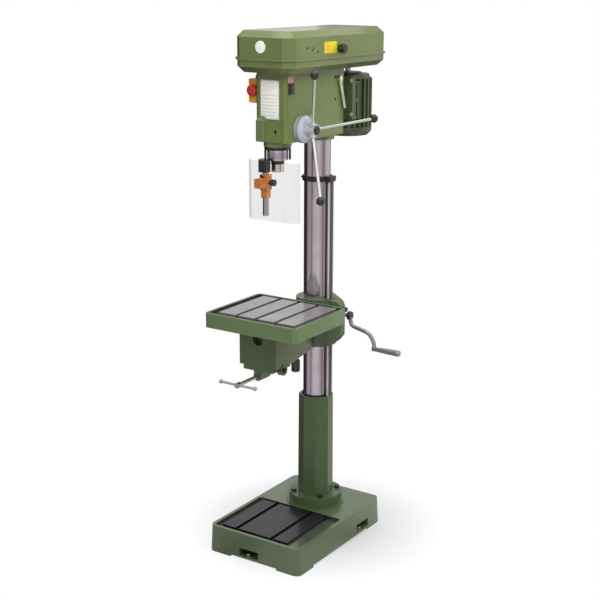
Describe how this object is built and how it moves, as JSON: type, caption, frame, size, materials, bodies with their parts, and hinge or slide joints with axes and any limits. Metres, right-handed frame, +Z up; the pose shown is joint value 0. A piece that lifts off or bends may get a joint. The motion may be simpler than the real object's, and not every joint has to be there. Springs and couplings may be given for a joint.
{
  "type": "pillar drill",
  "caption": "Floor-standing pillar drill: slotted base, round column with rack, tilting slotted table on a crank lift, quill head with three-lever feed, belt cover, rear motor and clear guard.",
  "frame": {"origin": "on the floor, on the axis of the column", "axes": "+Z up, -Y to the operator, +X to the operator's right"},
  "size_m": [0.5213, 0.744, 1.7656],
  "materials": {
    "casting_paint": "dark green paint over smooth casting",
    "hammered_paint": "olive green hammered paint",
    "sheet_paint": "olive green hammered paint on sheet",
    "motor_paint": "dark green paint",
    "bright_steel": "ground",
    "chrome": "polished",
    "black_steel": "black",
    "drum_alloy": "satin",
    "pulley_alloy": "turned",
    "belt_rubber": "matte",
    "black_plastic": "matte",
    "red_plastic": "gloss",
    "yellow_plastic": "satin",
    "orange_alloy": "painted",
    "clear_plastic": "clear, slightly clouded"
  },
  "bodies": {
    "stand": {"base": "casting_paint", "column_socket": "casting_paint", "column": "bright_steel", "socket_bolt_1": "black_steel", "socket_bolt_2": "black_steel", "socket_bolt_3": "black_steel", "socket_bolt_4": "black_steel", "floor_bolt_front": "bright_steel", "floor_bolt_left": "bright_steel", "floor_bolt_right": "bright_steel", "head_casting": "hammered_paint", "belt_tray": "sheet_paint", "lid_hinge_pin": "bright_steel", "drive_belt": "belt_rubber", "stop_box": "yellow_plastic", "switch_frame": "black_plastic", "guard_yoke": "black_steel", "spring_housing": "drum_alloy"},
    "rack_swing": {"rack": "bright_steel", "rack_ring": "black_steel"},
    "carrier": {"table_carrier": "casting_paint"},
    "lift_gear": {"lift_gear": "bright_steel"},
    "crank": {"crank_shaft": "bright_steel", "crank_arm": "chrome"},
    "crank_grip": {"crank_grip": "chrome"},
    "tilt": {"table": "casting_paint", "table_bracket": "casting_paint", "clamp_shoe": "hammered_paint"},
    "clamp_screw": {"clamp_screw": "bright_steel"},
    "tommy_bar": {"tommy_bar": "bright_steel"},
    "index_plunger": {"index_plunger": "black_plastic"},
    "lid": {"lid": "sheet_paint"},
    "lid_knob": {"lid_knob": "black_plastic"},
    "stop_button": {"stop_button": "red_plastic"},
    "switch_rocker": {"switch_rocker": "black_plastic"},
    "feed": {"feed_shaft": "bright_steel", "depth_drum": "drum_alloy", "feed_hub": "chrome", "hub_cap": "black_plastic", "feed_lever_1": "chrome", "feed_lever_2": "chrome", "feed_lever_3": "chrome", "lever_knob_1": "black_plastic", "lever_knob_2": "black_plastic", "lever_knob_3": "black_plastic"},
    "quill": {"quill": "bright_steel", "lower_bearing": "bright_steel", "upper_bearing": "bright_steel"},
    "spindle": {"spindle": "bright_steel"},
    "drive_pulley": {"spindle_pulley": "pulley_alloy"},
    "motor": {"motor_body": "motor_paint", "fan_cowl": "sheet_paint", "motor_plate": "casting_paint"},
    "motor_rotor": {"motor_shaft": "bright_steel", "motor_pulley": "pulley_alloy"},
    "tension_lever": {"tension_lever": "chrome"},
    "guard_bar": {"guard_bar": "bright_steel"},
    "guard_slider": {"guard_slider": "orange_alloy", "guard_shield": "clear_plastic"},
    "guard_knob": {"guard_knob": "black_plastic"}
  },
  "joints": [
    {"name": "table_swing", "type": "hinge", "parent": "stand", "child": "rack_swing", "pos_m": [0, 0, 0.782], "axis": [0, 0, 1], "range_deg": [-180, 180]},
    {"name": "table_lift", "type": "slide", "parent": "rack_swing", "child": "carrier", "axis": [0, 0, 1], "range_m": [-0.18, 0.31]},
    {"name": "lift_gear_turn", "type": "hinge", "parent": "carrier", "child": "lift_gear", "pos_m": [0.0773, 0, 0.7721], "axis": [0, 1, 0], "range_deg": [-889, 516.5]},
    {"name": "crank_turn", "type": "hinge", "parent": "carrier", "child": "crank", "pos_m": [0.13, 0, 0.805], "axis": [1, 0, 0], "range_deg": [-5157.5, 8881.5]},
    {"name": "crank_grip_spin", "type": "hinge", "parent": "crank", "child": "crank_grip", "pos_m": [0.29, 0, 0.702], "axis": [1, 0, 0], "continuous": true},
    {"name": "table_tilt", "type": "hinge", "parent": "carrier", "child": "tilt", "pos_m": [0, -0.23, 0.782], "axis": [0, 1, 0], "range_deg": [-45, 45]},
    {"name": "clamp_screw_turn", "type": "hinge", "parent": "tilt", "child": "clamp_screw", "pos_m": [0, -0.4, 0.658], "axis": [0, -1, 0], "range_deg": [0, 360]},
    {"name": "tommy_bar_slide", "type": "slide", "parent": "clamp_screw", "child": "tommy_bar", "axis": [1, 0, 0], "range_m": [-0.05, 0.05]},
    {"name": "index_plunger_pull", "type": "slide", "parent": "tilt", "child": "index_plunger", "axis": [0, 0, -1], "range_m": [0, 0.012], "stiffness_N_per_m": 600, "springref_m": -0.008},
    {"name": "lid_open", "type": "hinge", "parent": "stand", "child": "lid", "pos_m": [-0.123, 0, 1.6786], "axis": [0, -1, 0], "range_deg": [0, 100]},
    {"name": "lid_knob_turn", "type": "hinge", "parent": "lid", "child": "lid_knob", "pos_m": [0.125, -0.044, 1.7046], "axis": [1, 0, 0], "range_deg": [0, 90]},
    {"name": "stop_press", "type": "slide", "parent": "stand", "child": "stop_button", "axis": [0, 1, 0], "range_m": [0, 0.004], "stiffness_N_per_m": 900, "springref_m": -0.002},
    {"name": "switch_rock", "type": "hinge", "parent": "stand", "child": "switch_rocker", "pos_m": [0.0603, -0.25, 1.587], "axis": [0, 1, 0], "range_deg": [-7, 7]},
    {"name": "feed_turn", "type": "hinge", "parent": "stand", "child": "feed", "pos_m": [0, -0.1905, 1.456], "axis": [1, 0, 0], "range_deg": [0, 358.1]},
    {"name": "quill_travel", "type": "slide", "parent": "stand", "child": "quill", "axis": [0, 0, -1], "range_m": [0, 0.1]},
    {"name": "spindle_spin", "type": "hinge", "parent": "quill", "child": "spindle", "pos_m": [0, -0.235, 1.45], "axis": [0, 0, 1], "continuous": true},
    {"name": "drive_spin", "type": "hinge", "parent": "stand", "child": "drive_pulley", "pos_m": [0, -0.235, 1.7], "axis": [0, 0, 1], "continuous": true},
    {"name": "motor_slide", "type": "slide", "parent": "stand", "child": "motor", "axis": [0, -1, 0], "range_m": [0, 0.014]},
    {"name": "motor_spin", "type": "hinge", "parent": "motor", "child": "motor_rotor", "pos_m": [0, 0.19, 1.65], "axis": [0, 0, 1], "continuous": true},
    {"name": "tension_turn", "type": "hinge", "parent": "stand", "child": "tension_lever", "pos_m": [0.065, 0.031, 1.602], "axis": [-1, 0, 0], "range_deg": [0, 60.2]},
    {"name": "guard_swing", "type": "hinge", "parent": "stand", "child": "guard_bar", "pos_m": [-0.012, -0.2845, 1.3], "axis": [0, 0, -1], "range_deg": [0, 90]},
    {"name": "guard_height", "type": "slide", "parent": "guard_bar", "child": "guard_slider", "axis": [0, 0, 1], "range_m": [-0.055, 0.005]},
    {"name": "guard_knob_turn", "type": "hinge", "parent": "guard_slider", "child": "guard_knob", "pos_m": [0.02, -0.2845, 1.291], "axis": [1, 0, 0], "range_deg": [-180, 180]}
  ],
  "couplings": [
    {"joint": "crank_turn", "follows": "table_lift", "rad_per_m": 500},
    {"joint": "lift_gear_turn", "follows": "table_lift", "rad_per_m": -50},
    {"joint": "quill_travel", "follows": "feed_turn", "m_per_rad": 0.016},
    {"joint": "spindle_spin", "follows": "drive_spin", "ratio": 1},
    {"joint": "motor_spin", "follows": "drive_spin", "ratio": 1.97},
    {"joint": "tension_turn", "follows": "motor_slide", "rad_per_m": 74.8}
  ]
}
